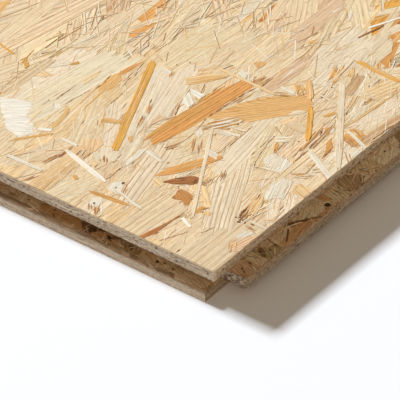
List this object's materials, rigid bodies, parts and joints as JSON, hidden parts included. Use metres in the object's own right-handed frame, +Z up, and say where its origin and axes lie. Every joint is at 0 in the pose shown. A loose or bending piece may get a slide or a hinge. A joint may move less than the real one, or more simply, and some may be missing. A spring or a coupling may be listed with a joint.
{
  "type": "tongue-and-groove osb panel",
  "caption": "Flat oriented strand board floor panel of pressed wood strands, with a tongue and a groove milled along its edges so that panels lock together.",
  "frame": {"origin": "on the underside, under the middle of the panel's overall box", "axes": "+X along the panel's length, from the grooved end to the tongued end; +Y across its width, from the tongued side to the grooved side; +Z up through its thickness"},
  "size_m": [2.5138, 0.6888, 0.018],
  "materials": {
    "strand_board": "matte"
  },
  "bodies": {
    "root": {"osb_panel": "strand_board"}
  },
  "joints": []
}
